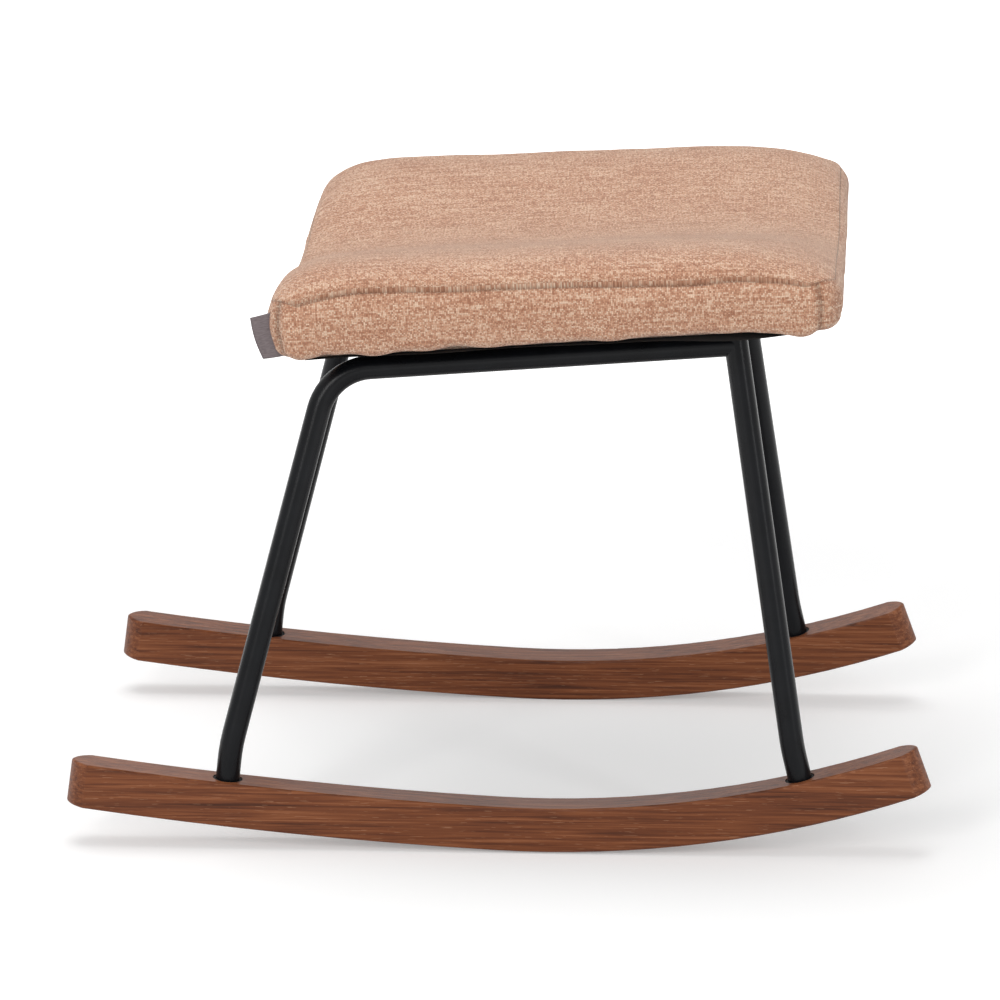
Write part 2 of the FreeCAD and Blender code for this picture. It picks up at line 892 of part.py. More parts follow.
def cushion_form(label, inset=0):
    """The whole cushion: crowned lips, a sagging valley and sides drawn in at the seams."""
    tips = [0, 0.4 * size("band_bulge")]
    stations = mirrored_stations(tips + station_distances(), inset)
    return lofted(label, [station.outline() for station in stations])


def parting_form():
    """Everything below the seam of the top panel, out past the bands."""
    stations = mirrored_stations([size("band_bulge")] + station_distances())
    stations[0].x -= size("lip_inset")
    stations[-1].x += size("lip_inset")
    return lofted("below_seam", [station.parting() for station in stations])


def seat_block(label, low, high):
    """A plain block between two corners, for dividing the cushion."""
    block = doc.addObject("Part::Box", label)
    block.Length, block.Width, block.Height = high - low
    block.Placement = Placement(low, Rotation())
    return block


def common(label, base, tool):
    return combined("Part::Common", label, base, tool)


def make_cushion():
    """Fabric top panel and four bands over a foam pad, and a bare ribbon tab."""
    outer = cushion_form("cushion_outside")
    inner = cushion_form("cushion_inside", size("fabric_thickness"))
    below = parting_form()
    long = size("seat_length")
    deep = size("seat_depth")
    turned = size("fabric_turn_in")
    corner = V(long / 2 - turned, deep / 2 - turned, size("fabric_thickness") * 2)
    opening = seat_block("fabric_opening", V(-corner.x, -corner.y, -corner.z), corner)
    hollow = fused("fabric_hollow", [inner, opening])
    skin = cut("fabric_skin", outer, hollow)
    pieces = {"top_panel": cut("top_panel", skin, below)}
    bands = common("fabric_bands", skin, below)
    left = -long / 2 + size("corner_seam_left")
    right = long / 2 - size("corner_seam_right")
    spans = {
        "near_band": (V(left, -deep, -deep), V(right, 0, deep)),
        "far_band": (V(left, 0, -deep), V(right, deep, deep)),
        "left_band": (V(-long, -deep, -deep), V(left, deep, deep)),
        "right_band": (V(right, -deep, -deep), V(long, deep, deep)),
    }
    for label, (low, high) in spans.items():
        block = seat_block(f"{label}_block", low, high)
        pieces[label] = common(label, bands, block)
    pieces["foam_pad"] = make_foam(inner)
    pieces["label_tab"] = make_tab(outer)
    for piece in pieces.values():
        in_seat(piece)
    return pieces


def make_foam(inner):
    """Fills the cover above the board and wraps a little way down the board's edge."""
    reach = size("seat_length")
    low = board_top() - size("foam_wrap")
    block = seat_block("foam_block", V(-reach, -reach, -reach), V(reach, reach, low))
    slab = rounded_slab(
        "foam_seat",
        f"seat_length - {BOARD_CUT} + 4 * fit_gap",
        f"seat_depth - {BOARD_CUT} + 4 * fit_gap",
        "board_thickness",
        "board_corner_radius",
        size("fabric_thickness"),
    )
    tools = [block, slab]
    for spot in all_seat_bolt_spots():
        frame = Placement(spot + V(0, 0, board_top() - size("fit_gap")), Rotation())
        tools.append(
            cylinder(
                "foam_nut_recess",
                "nut_flange_diameter / 2 + fit_gap",
                "nut_flange_thickness + 2 * fit_gap",
                frame,
            )
        )
    return cut("foam_pad", inner, fused("foam_tools", tools))


def make_tab(outer):
    """A folded ribbon sewn into the near left corner seam, with nothing on it."""
    ribbon = doc.addObject("Part::Box", "tab_ribbon")
    bind(ribbon, Length="2 * tab_width", Width="tab_thickness", Height="tab_length")
    seam = V(
        size("corner_seam_left") / 2 - size("seat_length") / 2,
        2 * size("tab_thickness") - size("seat_depth") / 2,
        size("tab_height"),
    )
    turned = Placement(seam, Rotation(V(0, 1, 0), -size("tab_tilt")))
    ribbon.Placement = shifted(turned, x=-size("tab_width"), z=-size("tab_length") / 2)
    return cut("label_tab", ribbon, outer)


def make_all():
    """Every sub-part of the stool under the name of its node."""
    pieces = {}
    for side, sign in SIDES.items():
        pieces[f"{side}_rocker"] = make_rocker(side, sign)
        pieces[f"{side}_leg_rail"] = make_leg_rail(side, sign)
        pieces[f"{side}_right_leg"] = make_right_leg(side, sign)
    for name in ("left", "right"):
        pieces[f"{name}_cross_tube"] = make_cross_tube(name)
    pieces["rocker_bolts"] = make_rocker_bolts()
    pieces["rocker_washers"] = make_rocker_washers()
    pieces["foot_inserts"] = make_foot_inserts()
    pieces["leg_top_plugs"] = make_leg_top_plugs()
    pieces["seat_spacers"] = make_seat_spacers()
    pieces["seat_bolts"] = make_seat_bolts()
    pieces["seat_t_nuts"] = make_seat_nuts()
    pieces["seat_board"] = make_board()
    pieces["dust_cover"] = make_dust_cover()
    pieces.update(make_cushion())
    return pieces


def check(pieces):
    """Stops before anything is written if a feature failed or a shape is unsound."""
    for thing in doc.Objects:
        if "Invalid" in thing.State or "Error" in thing.State:
            raise RuntimeError(f"{thing.Label} failed: {thing.State}")
    for label, piece in pieces.items():
        if piece.Shape.isNull() or not piece.Shape.isValid():
            raise RuntimeError(f"{label} is not a sound shape")
        if not piece.Shape.Solids:
            raise RuntimeError(f"{label} holds no solid")


def main():
    pieces = make_all()
    doc.recompute()
    for label, piece in pieces.items():
        piece.Label = label
    check(pieces)
    os.makedirs("parts", exist_ok=True)
    for label, piece in pieces.items():
        piece.Shape.exportStep(f"parts/{label}.step")
        print(label, len(piece.Shape.Solids), "solids", round(piece.Shape.Volume), "mm3")


main()
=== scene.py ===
"""A rocking footstool in a plain studio: walnut rockers, black tube and a sewn saddle cushion.

Lengths are metres, except in the cushion, its tab and its lining. Those are drawn in millimetres
in the seat's own axes: x up the slope of the seat, y across it and z square to it, from the middle
of the cushion's underside.
"""

import json
import math

import bpy
import numpy as np
from mathutils import Euler, Matrix, Vector, noise


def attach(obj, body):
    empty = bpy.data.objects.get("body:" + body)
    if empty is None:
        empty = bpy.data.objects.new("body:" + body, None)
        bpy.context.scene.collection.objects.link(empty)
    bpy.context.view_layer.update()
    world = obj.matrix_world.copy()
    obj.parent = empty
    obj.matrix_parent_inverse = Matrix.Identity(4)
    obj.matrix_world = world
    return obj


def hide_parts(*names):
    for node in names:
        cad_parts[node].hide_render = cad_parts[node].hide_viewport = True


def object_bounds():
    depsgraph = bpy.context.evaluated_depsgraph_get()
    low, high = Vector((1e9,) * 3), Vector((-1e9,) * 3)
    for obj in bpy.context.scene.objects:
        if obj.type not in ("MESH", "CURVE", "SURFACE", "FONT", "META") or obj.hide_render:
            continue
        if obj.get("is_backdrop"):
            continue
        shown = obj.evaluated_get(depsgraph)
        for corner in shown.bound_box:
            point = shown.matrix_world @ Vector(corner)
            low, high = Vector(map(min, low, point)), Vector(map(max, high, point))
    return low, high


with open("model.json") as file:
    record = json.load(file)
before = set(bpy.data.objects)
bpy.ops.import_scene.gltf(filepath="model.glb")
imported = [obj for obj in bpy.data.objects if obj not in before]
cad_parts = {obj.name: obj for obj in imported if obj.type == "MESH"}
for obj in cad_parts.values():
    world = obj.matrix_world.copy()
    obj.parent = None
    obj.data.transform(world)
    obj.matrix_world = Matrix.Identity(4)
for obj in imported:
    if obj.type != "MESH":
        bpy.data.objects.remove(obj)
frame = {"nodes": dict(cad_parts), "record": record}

CAD_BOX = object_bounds()
MM = 0.001
BLACK = (0, 0, 0)
WHITE = (1, 1, 1)

SEAT_SLOPE = math.radians(4.4)
SEAT_TURN = math.radians(-1.55)
SEAT_ORIGIN = Vector((0.043, 0, 0.348))
SEAT = (
    Matrix.Translation(SEAT_ORIGIN)
    @ Euler((0, -SEAT_SLOPE, 0)).to_matrix().to_4x4()
    @ Matrix.Rotation(SEAT_TURN, 4, "Z")
)


def scene_camera():
    """The photograph's view, from in front and a little above, through a long lens."""
    look_down = 0.272
    look_left = 0.0455
    data = bpy.data.cameras.new("view")
    data.lens = 191.35
    data.sensor_width = 36
    camera = bpy.data.objects.new("view", data)
    camera.location = (0.1542, -3.5168, 1.175)
    camera.rotation_euler = (math.pi / 2 - look_down, 0, look_left)
    bpy.context.scene.collection.objects.link(camera)
    bpy.context.scene.camera = camera


class Graph:
    """A material with short calls that add and link its nodes."""

    def __init__(self, name, **surface):
        self.material = bpy.data.materials.new(name)
        self.material.use_nodes = True
        self.tree = self.material.node_tree
        self.shader = self.tree.nodes["Principled BSDF"]
        for socket, value in surface.items():
            self.feed(self.shader.inputs[socket.replace("_", " ")], value)

    def feed(self, socket, value):
        """Links a node's output to a socket, or sets the socket to a plain value."""
        if isinstance(value, bpy.types.NodeSocket):
            self.tree.links.new(value, socket)
        else:
            socket.default_value = value

    def node(self, kind, **settings):
        made = self.tree.nodes.new("ShaderNode" + kind)
        for name, value in settings.items():
            setattr(made, name, value)
        return made

    def coordinates(self, output, scale=(1, 1, 1)):
        """Texture coordinates in metres, times a scale for each axis."""
        mapping = self.node("Mapping")
        self.feed(mapping.inputs["Vector"], self.node("TexCoord").outputs[output])
        mapping.inputs["Scale"].default_value = scale
        return mapping.outputs["Vector"]

    def split(self, vector):
        """The X and Y of a vector."""
        made = self.node("SeparateXYZ")
        self.feed(made.inputs[0], vector)
        return made.outputs[0], made.outputs[1]

    def noise(self, vector, detail=2.0, roughness=0.5, distortion=0.0):
        made = self.node("TexNoise")
        self.feed(made.inputs["Vector"], vector)
        made.inputs["Scale"].default_value = 1.0
        made.inputs["Detail"].default_value = detail
        made.inputs["Roughness"].default_value = roughness
        made.inputs["Distortion"].default_value = distortion
        return made.outputs[0]

    def maths(self, operation, *values):
        made = self.node("Math", operation=operation)
        for socket, value in zip(made.inputs, values):
            self.feed(socket, value)
        return made.outputs[0]

    def weighted(self, *parts):
        """The sum of (value, weight) parts."""
        total = None
        for value, weight in parts:
            share = self.maths("MULTIPLY", value, weight)
            total = share if total is None else self.maths("ADD", total, share)
        return total

    def ramp(self, factor, stops):
        """A colour ramp of (position, linear colour) stops."""
        made = self.node("ValToRGB")
        self.feed(made.inputs[0], factor)
        elements = made.color_ramp.elements
        while len(elements) < len(stops):
            elements.new(0.5)
        for element, (position, colour) in zip(elements, stops):
            element.position = position
            element.color = (*colour, 1)
        return made.outputs[0]

    def mix(self, factor, first, second, blend="MIX"):
        """A Mix node's colour result. Its colour sockets are inputs 6 and 7 and output 2."""
        made = self.node("Mix", data_type="RGBA", blend_type=blend)
        sockets = (made.inputs[0], made.inputs[6], made.inputs[7])
        for socket, value in zip(sockets, (factor, first, second)):
            self.feed(socket, value)
        return made.outputs[2]

    def bump(self, height, distance, strength):
        made = self.node("Bump")
        self.feed(made.inputs["Height"], height)
        made.inputs["Distance"].default_value = distance
        made.inputs["Strength"].default_value = strength
        self.feed(self.shader.inputs["Normal"], made.outputs[0])

    def colour(self, value):
        self.feed(self.shader.inputs["Base Color"], value)


def peach_weave():
    """Heathered twill, with painted shade between its threads and along its seam creases. Its coordinates
    are in metres along the two sets of threads.
    """
    pitch = 0.0011
    repeat = 3
    fine = 0.9 / pitch
    run = 0.16 / pitch
    thread_relief = 0.42
    shade_between_threads = 0.7
    seam_shade = 0.45
    g = Graph("peach_weave", Roughness=0.92, Specular_IOR_Level=0.15, Sheen_Weight=0.5, Sheen_Roughness=0.4)
    g.shader.inputs["Sheen Tint"].default_value = (1, 0.9, 0.82, 1)

    across, along = g.split(g.coordinates("UV", (1 / pitch, 1 / pitch, 1)))
    warp = g.maths("ABSOLUTE", g.maths("SINE", g.maths("MULTIPLY", across, math.pi)))
    weft = g.maths("ABSOLUTE", g.maths("SINE", g.maths("MULTIPLY", along, math.pi)))
    end = g.maths("FLOOR", across)
    pick = g.maths("FLOOR", along)
    step = g.maths("FRACT", g.maths("DIVIDE", g.maths("ADD", end, pick), repeat))
    over = g.maths("LESS_THAN", step, 0.5)
    height = g.mix(over, weft, warp)

    crossing = g.node("CombineXYZ")
    g.feed(crossing.inputs[0], end)
    g.feed(crossing.inputs[1], pick)
    yarn = g.node("TexWhiteNoise", noise_dimensions="2D")
    g.feed(yarn.inputs["Vector"], crossing.outputs[0])
    warp_tone = g.noise(g.coordinates("UV", (fine, run, 1)), detail=1.0)
    weft_tone = g.noise(g.coordinates("UV", (run, fine, 1)), detail=1.0)
    tone = g.mix(over, weft_tone, warp_tone)
    slub = g.noise(g.coordinates("UV", (30, 420, 1)))
    cloud = g.noise(g.coordinates("UV", (11, 34, 1)), detail=3.0)
    heather = g.weighted((yarn.outputs["Value"], 0.24), (tone, 0.3), (slub, 0.34), (cloud, 0.12))
    stops = [
        (0.36, (0.430, 0.195, 0.115)),
        (0.50, (0.640, 0.345, 0.220)),
        (0.64, (0.840, 0.600, 0.440)),
    ]

    # Painted shade: the seam attribute darkens the colour along the seam creases.
    seam = g.node("Attribute", attribute_name="seam").outputs["Fac"]
    # Painted shade: the colour is darkened between the threads, following the weave's height.
    lit = g.maths("MULTIPLY_ADD", height, thread_relief, shade_between_threads)
    shade = g.maths("MULTIPLY", lit, g.maths("SUBTRACT", 1, g.maths("MULTIPLY", seam, seam_shade)))
    g.colour(g.mix(1.0, g.ramp(heather, stops), g.ramp(shade, [(0, BLACK), (1, WHITE)]), "MULTIPLY"))
    g.bump(g.maths("ADD", height, g.maths("MULTIPLY", heather, 0.8)), distance=0.0004, strength=0.9)
    return g.material


def walnut():
    """Stained wood: broad figure and grain lines along the rocker, pale pores, satin lacquer."""
    pore_colour = (0.40, 0.20, 0.11, 1)
    g = Graph("walnut", Roughness=0.38, Specular_IOR_Level=0.24)
    figure = g.noise(g.coordinates("Object", (5, 26, 32)), detail=3.0, distortion=0.6)
    lines = g.noise(g.coordinates("Object", (10, 330, 420)), detail=5.0, roughness=0.62, distortion=0.35)
    streaks = g.noise(g.coordinates("Object", (16, 900, 900)), detail=3.0)
    pores = g.noise(g.coordinates("Object", (85, 1500, 1500)), detail=1.0)
    grain = g.weighted((figure, 0.2), (lines, 0.55), (streaks, 0.25))
    stops = [
        (0.37, (0.056, 0.0145, 0.0048)),
        (0.46, (0.132, 0.037, 0.0122)),
        (0.53, (0.188, 0.057, 0.0190)),
        (0.64, (0.285, 0.103, 0.0420)),
    ]
    pale = g.maths("MULTIPLY", g.maths("GREATER_THAN", pores, 0.69), 0.4)
    g.colour(g.mix(pale, g.ramp(grain, stops), pore_colour))
    g.bump(g.maths("ADD", lines, g.maths("MULTIPLY", streaks, 0.6)), distance=0.0005, strength=0.35)
    return g.material


def powder_coat():
    """Satin black coating with the faint dimples of baked powder."""
    g = Graph("powder_coat", Roughness=0.27, Specular_IOR_Level=0.15)
    mottle = g.noise(g.coordinates("Object", (60, 60, 60)))
    dimples = g.noise(g.coordinates("Object", (900, 900, 900)))
    g.colour(g.ramp(mottle, [(0.3, (0.0035, 0.0038, 0.0048)), (0.7, (0.006, 0.0066, 0.0082))]))
    g.bump(dimples, distance=0.00012, strength=0.5)
    return g.material


def speckled(name, first, second, scale, distance, **surface):
    """A plain material with a fine two-toned speckle and bump."""
    g = Graph(name, **surface)
    speckle = g.noise(g.coordinates("Object", scale), detail=3.0)
    g.colour(g.ramp(speckle, [(0.35, first), (0.65, second)]))
    g.bump(speckle, distance, strength=0.6)
    return g.material


def zinc():
    return speckled(
        "zinc",
        first=(0.42, 0.43, 0.45),
        second=(0.58, 0.59, 0.61),
        scale=(400, 400, 400),
        distance=0.00005,
        Metallic=1.0,
        Roughness=0.34,
    )


def moulded_black():
    return speckled(
        "moulded_black",
        first=(0.008, 0.008, 0.009),
        second=(0.014, 0.014, 0.015),
        scale=(700, 700, 700),
        distance=0.00008,
        Roughness=0.55,
    )


def plywood():
    return speckled(
        "plywood",
        first=(0.42, 0.27, 0.14),
        second=(0.60, 0.43, 0.25),
        scale=(12, 160, 500),
        distance=0.0002,
        Roughness=0.7,
    )


def lining():
    return speckled(
        "lining",
        first=(0.006, 0.006, 0.006),
        second=(0.013, 0.013, 0.013),
        scale=(900, 900, 900),
        distance=0.0001,
        Roughness=0.9,
    )


def gap_shade_black():
    # Painted shade: near-black that stands in for the shadow down in the gap round each tube.
    return speckled(
        "gap_shade_black",
        first=(0.003, 0.003, 0.003),
        second=(0.006, 0.006, 0.006),
        scale=(800, 800, 800),
        distance=0.00005,
        Roughness=0.85,
    )


def ribbon_weave():
    """Close satin ribbon with ribs across its width."""
    rib_pitch = 0.0007
    g = Graph("ribbon", Roughness=0.6, Sheen_Weight=0.25, Sheen_Roughness=0.4)
    along = g.split(g.coordinates("UV"))[1]
    ribs = g.maths("SINE", g.maths("MULTIPLY", along, 2 * math.pi / rib_pitch))
    tone = g.noise(g.coordinates("UV", (300, 1400, 1)))
    g.colour(g.ramp(tone, [(0.3, (0.105, 0.080, 0.083)), (0.7, (0.185, 0.150, 0.155))]))
    g.bump(g.maths("ADD", ribs, tone), distance=0.00008, strength=0.7)
    return g.material


def dress_frame():
    """Gives the wood, the tubes, the board and the fittings their finish."""
    finishes = {
        "stained_wood": walnut(),
        "black_tube": powder_coat(),
        "zinc_steel": zinc(),
        "black_plastic": moulded_black(),
        "plywood": plywood(),
    }
    for part in frame["record"]["subparts"]:
        finish = finishes.get(part["material_slot"])
        if finish:
            mesh = frame["nodes"][part["node"]].data
            mesh.materials.clear()
            mesh.materials.append(finish)


def bell(distance, width):
    """A smooth hump that is 1 at no distance and fades over a width."""
    return np.exp(-((distance / width) ** 2))


def smooth_curve(table, x):
    """Heights at x on a smooth curve through a table of (x, height) pairs."""
    xs, zs = np.array(table, float).T
    slopes = np.gradient(zs, xs)
    i = np.clip(np.searchsorted(xs, x) - 1, 0, len(xs) - 2)
    span = xs[i + 1] - xs[i]
    t = np.clip((x - xs[i]) / span, 0, 1)
    start = (2 * t**3 - 3 * t**2 + 1) * zs[i]
    leave = (t**3 - 2 * t**2 + t) * span * slopes[i]
    end = (3 * t**2 - 2 * t**3) * zs[i + 1]
    arrive = (t**3 - t**2) * span * slopes[i + 1]
    return start + leave + end + arrive


class Cushion:
    """The sewn cover: an outline in plan, a band round it and a saddle-shaped top."""

    half_length = 183
    half_depth = 186
    corner = 18
    bulge = 4.5
    foot = 11
    foot_rise = 0.9
    lip_inset = 34
    near_crest_drop = 1.2
    around = 720

    seam_heights = [
        (-183, 31.5), (-165, 36.5), (-130, 42.6), (-98, 42.5), (-70, 41), (0, 39.6),
        (60, 36.6), (96, 35.4), (120, 36.4), (148, 34), (172, 30), (183, 31),
    ]
    crest_heights = [
        (-183, 41), (-177, 48), (-170, 52.5), (-159, 57), (-139, 59.6), (-110, 59.8), (-56, 58.2),
        (0, 57.3), (45, 56.2), (95, 54.6), (125, 52), (151, 47.6), (168, 42), (177, 37), (183, 32),
    ]
    valley_heights = [(-183, 25.5), (-165, 29), (-120, 33), (0, 33.5), (110, 32), (160, 27), (183, 21.5)]

    # Where the lower edge hangs down or is drawn up: x, depth and width.
    sags = [(-168, -3.2, 9), (-150, 1.6, 6), (-118, -1.2, 14), (160, -5.2, 14), (180, -1.5, 8)]

    # The upright seams near the corners: x, and which side in y.
    uprights = [(171.5, -1), (-176.5, -1), (171.5, 1), (-176.5, 1)]
    seam_depth = 1.6
    seam_width = 1.7

    under_shares = (0.06, 0.3, 0.6, 0.8, 0.88, 0.93)
    band_levels = (*np.linspace(0, 0.86, 13), 0.91, 0.945, 0.97, 0.985)
    top_insets = (
        0.6, 1.3, 2.4, 3.8, 5.4, 7.4, 9.6, 12, 14.5, 17, 19.8, 23, 26.5, 30, 34, 38, 43, 49, 56, 64,
        73, 83, 94, 106, 118, 130, 142, 154, 166, 176,
    )

    def __init__(self):
        quarter = math.pi / 2 * self.corner
        sides = [2 * (self.half_length - self.corner), 2 * (self.half_depth - self.corner)] * 2
        self.girth = sum(sides) + 4 * quarter
        self.lengths = np.arange(self.around) * self.girth / self.around
        walked = [self.walk(length, sides, quarter) for length in self.lengths]
        self.path = np.array([point for point, heading in walked])
        self.normals = np.array([(math.sin(heading), -math.cos(heading)) for point, heading in walked])
        self.across = np.linspace(0, self.half_depth, 120)
        rise = np.diff(self.height(np.zeros(len(self.across)), self.across))
        self.over = np.concatenate([[0], np.cumsum(np.hypot(np.diff(self.across), rise))])

    def walk(self, left, sides, quarter):
        """The point and heading some way round the seam in plan, from the near left corner."""
        point = np.array([self.corner - self.half_length, -self.half_depth], float)
        heading = 0.0
        for side in sides:
            forward = np.array([math.cos(heading), math.sin(heading)])
            if left <= side:
                return point + forward * left, heading
            left -= side
            centre = point + forward * side + np.array([-forward[1], forward[0]]) * self.corner
            if left <= quarter:
                heading += left / self.corner
                outward = np.array([math.sin(heading), -math.cos(heading)])
                return centre + outward * self.corner, heading
            left -= quarter
            point = centre + forward * self.corner
            heading += math.pi / 2
        return point, heading

    def height(self, x, y):
        """The top's height over a point in plan: two rolled lips with a valley between."""
        crest = smooth_curve(self.crest_heights, x) - np.where(y < 0, self.near_crest_drop, 0)
        valley = smooth_curve(self.valley_heights, x)
        seam = smooth_curve(self.seam_heights, x)
        away = np.abs(y)
        crest_y = self.half_depth - self.lip_inset
        out = np.clip((away - crest_y) / self.lip_inset, 0, 1)
        lip = seam + (crest - seam) * np.sqrt(np.clip(1 - out**2, 0, 1))
        rise = (1 - np.cos(math.pi * np.clip(away / crest_y, 0, 1))) / 2
        return np.where(away > crest_y, lip, valley + (crest - valley) * rise)

    def lower_edge(self):
        """How far the lower edge hangs down or is drawn up. The sags count half on the far side."""
        ripple_depth = 3.2
        ripple_length = 26
        ripple_row = 3.1
        lift = 0.8
        x, y = self.path.T
        low = np.zeros(self.around)
        for place, depth, width in self.sags:
            low += depth * bell(x - place, width) * ((y < 0) + 0.5 * (y > 0))
        spots = self.path / ripple_length
        ripple = np.array([noise.noise(Vector((*spot, ripple_row))) for spot in spots])
        return low + ripple_depth * ripple + lift

    def upright_seams(self):
        """How much each outline point lies on one of the four upright seams, from 0 to 1."""
        share = np.zeros(self.around)
        for x, side in self.uprights:
            near = self.path[:, 1] * side > 0
            share += np.where(near, bell(np.abs(self.path[:, 0] - x), self.seam_width), 0)
        return share

    def under_rings(self):
        drop = 0.2
        for share in self.under_shares:
            yield "under", self.path * share, np.zeros(self.around) - drop

    def band_rings(self):
        """The rounded foot of the band and its wall, which swells between foot and seam."""
        foot_swell = 0.55
        wall_swell = 1.8
        low = self.lower_edge()
        for turn in np.linspace(0, math.pi / 2, 8)[:-1]:
            inset = self.foot * (1 - math.sin(turn)) - self.bulge * math.sin(turn) * foot_swell
            rise = self.foot * (1 - math.cos(turn)) * self.foot_rise
            yield "band", self.path - self.normals * inset, low + rise
        seam = self.height(*self.path.T)
        wall = low + self.foot * self.foot_rise
        for share in self.band_levels:
            swell = self.bulge * (foot_swell + wall_swell * share * (1 - share)) * (1 - share**5)
            yield "band", self.path + self.normals * swell, wall + (seam - wall) * share

    def top_rings(self):
        """The top from the seam to its middle, a little puffed just inside the seam."""
        seam_inset = 0.3
        puff_size = 0.5
        puff_inset = 3.5
        puff_width = 3
        yield "seam", self.path - self.normals * seam_inset, self.height(*self.path.T)
        for inset in self.top_insets:
            inner = self.path * (1 - inset / self.half_depth)
            puff = puff_size * bell(inset - puff_inset, puff_width)
            yield "top", inner + self.normals * puff * 0.5, self.height(*inner.T) + puff * 0.35

    def rings(self):
        """Closed rings from the middle of the underside, up the band and over the top, sewn and stuffed."""
        pinch = self.upright_seams()[:, None] * self.seam_depth
        for kind, points, z in (*self.under_rings(), *self.band_rings(), *self.top_rings()):
            z = z + wrinkles(kind, points, z)
            if kind == "band":
                points = points - self.normals * pinch
            if kind in ("band", "seam"):
                points = points + self.normals * wrinkles(kind, points, z)[:, None]
            yield kind, points, z

    def threads(self, kind, points, z):
        """Where a ring's points lie along the threads of the band's cloth or the top's, in metres."""
        if kind == "band":
            return np.stack([self.lengths, z], 1) * MM
        x, y = points.T
        return np.stack([x, np.sign(y) * np.interp(np.abs(y), self.across, self.over)], 1) * MM


def wrinkles(kind, points, z):
    """Small uneven swells of a hand-stuffed cover, broad ones and fine ones."""
    strength = {"under": 0.0, "band": 1.1, "seam": 0.4, "top": 0.9}[kind]
    swell = []
    for (x, y), height in zip(points, z):
        broad = noise.noise(Vector((x / 70, y / 55, height / 40 + 9.7)))
        fine = noise.noise(Vector((x / 21, y / 15, height / 11)))
        swell.append(0.55 * broad + 0.28 * fine)
    return np.array(swell) * strength


def seam_crease_shade(cushion, rings):
    """How much painted shade darkens the seam's crease at each vertex of the rings, from 0 to 1."""
    fade = {0: 1.0, 1: 0.5, 2: 0.12}
    upright = cushion.upright_seams()
    flat = np.zeros(cushion.around)
    seam_row = [kind for kind, points, z in rings].index("seam")
    crease_shade = []
    for row, (kind, points, z) in enumerate(rings):
        level = fade.get(abs(row - seam_row), 0.0)
        crease_shade.extend(np.maximum(level, upright if kind == "band" else flat))
    return crease_shade


def ring_faces(cushion, rings):
    """Quads between each ring and the next, and their corners' places along the threads."""
    count = cushion.around
    faces = []
    corners = []
    for row in range(len(rings) - 1):
        kind = rings[row][0]
        cloth = [cushion.threads(kind, *ring[1:]) for ring in rings[row : row + 2]]
        for column in range(count):
            onward = (column + 1) % count
            quad = [(0, column), (0, onward), (1, onward), (1, column)]
            faces.append([(row + up) * count + c for up, c in quad])
            for up, c in quad:
                u, v = cloth[up][c]
                if kind == "band" and c < column:
                    u = cushion.girth * MM
                corners.append((u, v))
    return faces, corners


def cap_faces(cushion, ring, first, middle, upward):
    """Triangles from one ring to its middle, and their corners' places along the threads."""
    count = cushion.around
    cloth = cushion.threads(*ring)
    faces = []
    corners = []
    for column in range(count):
        onward = (column + 1) % count
        pair = [column, onward] if upward else [onward, column]
        faces.append([first + pair[0], first + pair[1], middle])
        corners.extend([tuple(cloth[c]) for c in pair])
        corners.append((0, 0))
    return faces, corners


def linked(name, vertices, faces, material, smooth=True):
    """A mesh object in the scene."""
    mesh = bpy.data.meshes.new(name)
    mesh.from_pydata([tuple(v) for v in vertices], [], faces)
    mesh.polygons.foreach_set("use_smooth", [smooth] * len(faces))
    mesh.materials.append(material)
    made = bpy.data.objects.new(name, mesh)
    bpy.context.scene.collection.objects.link(made)
    return made


def cushion_cover():
    """The whole cover as one closed skin."""
    cushion = Cushion()
    rings = list(cushion.rings())
    count = cushion.around
    vertices = []
    for kind, points, z in rings:
        for (x, y), height in zip(points, z):
            vertices.append(SEAT @ Vector((x * MM, y * MM, height * MM)))
    # Painted shade for the seam creases, kept in the seam attribute.
    seams = seam_crease_shade(cushion, rings)
    faces, corners = ring_faces(cushion, rings)
    for row, upward in ((0, False), (len(rings) - 1, True)):
        first = row * count
        middle = len(vertices)
        more_faces, more_corners = cap_faces(cushion, rings[row], first, middle, upward)
        vertices.append(sum(vertices[first : first + count], Vector()) / count)
        seams.append(0)
        faces += more_faces
        corners += more_corners
    cover = linked("cushion_cover", vertices, faces, peach_weave())
    layer = cover.data.uv_layers.new(name="threads")
    layer.data.foreach_set("uv", np.array(corners, np.float32).ravel())
    crease_shade = cover.data.attributes.new("seam", "FLOAT", "POINT")
    crease_shade.data.foreach_set("value", np.array(seams, np.float32))
    return cover


def grid_sheet(name, across, down, place, material):
    """A mesh grid whose points come from place(u, v), with coordinates in metres."""
    vertices = []
    faces = []
    row = across + 1
    for j in range(down + 1):
        for i in range(row):
            vertices.append(place(i / across, j / down))
    for j in range(down):
        for i in range(across):
            a = j * row + i
            faces.append((a, a + 1, a + row + 1, a + row))
    sheet = linked(name, vertices, faces, material)
    wide = (vertices[across] - vertices[0]).length
    long = (vertices[-row] - vertices[0]).length
    layer = sheet.data.uv_layers.new(name="threads")
    for loop in sheet.data.loops:
        j, i = divmod(loop.vertex_index, row)
        layer.data[loop.index].uv = (i / across * wide, j / down * long)
    return sheet


def thickened(sheet, thickness):
    """Applies a thickness to a thin sheet, half on each side."""
    solid = sheet.modifiers.new("thickness", "SOLIDIFY")
    solid.thickness = thickness
    solid.offset = 0
    bpy.context.view_layer.objects.active = sheet
    sheet.select_set(True)
    bpy.ops.object.modifier_apply(modifier=solid.name)
    sheet.select_set(False)
    return sheet


